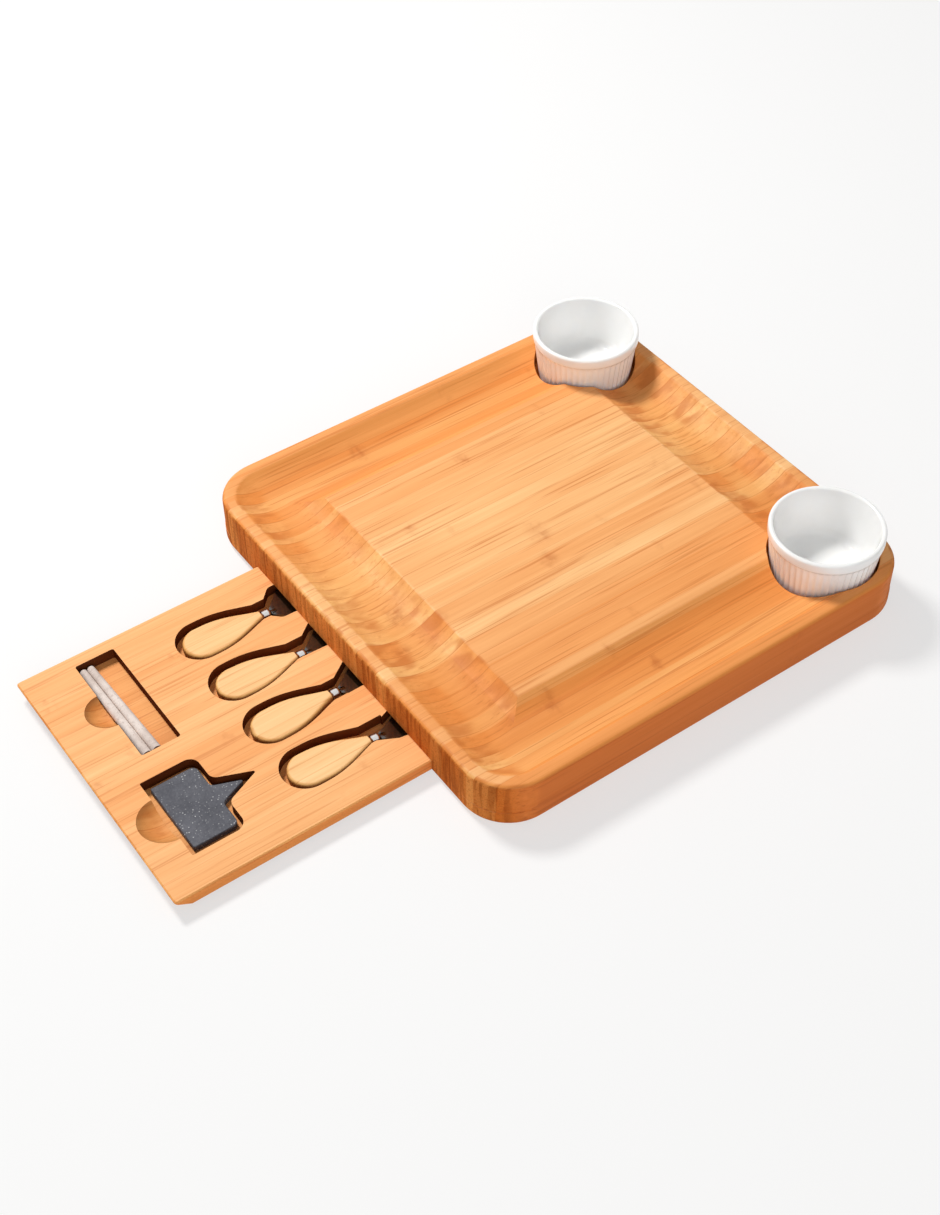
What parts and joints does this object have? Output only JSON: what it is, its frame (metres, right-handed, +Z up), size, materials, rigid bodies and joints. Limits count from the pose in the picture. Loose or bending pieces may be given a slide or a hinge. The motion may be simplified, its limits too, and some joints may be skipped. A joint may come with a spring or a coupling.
{
  "type": "cheese board with knife drawer",
  "caption": "Square bamboo cheese board with a platform, a cracker trough, white bowls in the back corners and a slide-out drawer of knives, slate and chalk.",
  "frame": {"origin": "middle of the board's square outline, on the table plane that the rails stand on", "axes": "+X to the right, the drawer opens toward -Y, +Z up"},
  "size_m": [0.33, 0.5025, 0.0594],
  "materials": {
    "board_bamboo": "oiled satin bamboo, end grain on the front and back",
    "rail_bamboo": "oiled satin bamboo",
    "drawer_bamboo": "oiled satin bamboo",
    "drawer_sheet": "plain bamboo sheet",
    "handle_bamboo": "oiled satin bamboo, rounded",
    "ferrule_steel": "polished steel",
    "blade_steel": "satin steel",
    "slate": "matt riven slate with pale specks",
    "chalk": "matt white chalk",
    "white_glaze": "glossy white glaze"
  },
  "bodies": {
    "board": {"top_board": "board_bamboo", "left_side_rail": "rail_bamboo", "right_side_rail": "rail_bamboo", "rear_rail": "rail_bamboo"},
    "drawer": {"drawer_tray": "drawer_bamboo", "drawer_bottom": "drawer_sheet", "flat_knife_handle": "handle_bamboo", "flat_knife_ferrule": "ferrule_steel", "flat_knife_blade": "blade_steel", "pronged_knife_handle": "handle_bamboo", "pronged_knife_ferrule": "ferrule_steel", "pronged_knife_blade": "blade_steel", "cleaver_handle": "handle_bamboo", "cleaver_ferrule": "ferrule_steel", "cleaver_blade": "blade_steel", "spade_knife_handle": "handle_bamboo", "spade_knife_ferrule": "ferrule_steel", "spade_knife_blade": "blade_steel", "slate_marker": "slate", "front_chalk_stick": "chalk", "rear_chalk_stick": "chalk"},
    "left_bowl": {"left_bowl": "white_glaze"},
    "right_bowl": {"right_bowl": "white_glaze"}
  },
  "joints": [
    {"name": "drawer_slide", "type": "slide", "parent": "board", "child": "drawer", "axis": [0, -1, 0], "range_m": [-0.1725, 0.06]},
    {"name": "left_bowl_lift", "type": "slide", "parent": "board", "child": "left_bowl", "axis": [0, 0, 1], "range_m": [0, 0.05]},
    {"name": "right_bowl_lift", "type": "slide", "parent": "board", "child": "right_bowl", "axis": [0, 0, 1], "range_m": [0, 0.05]}
  ]
}
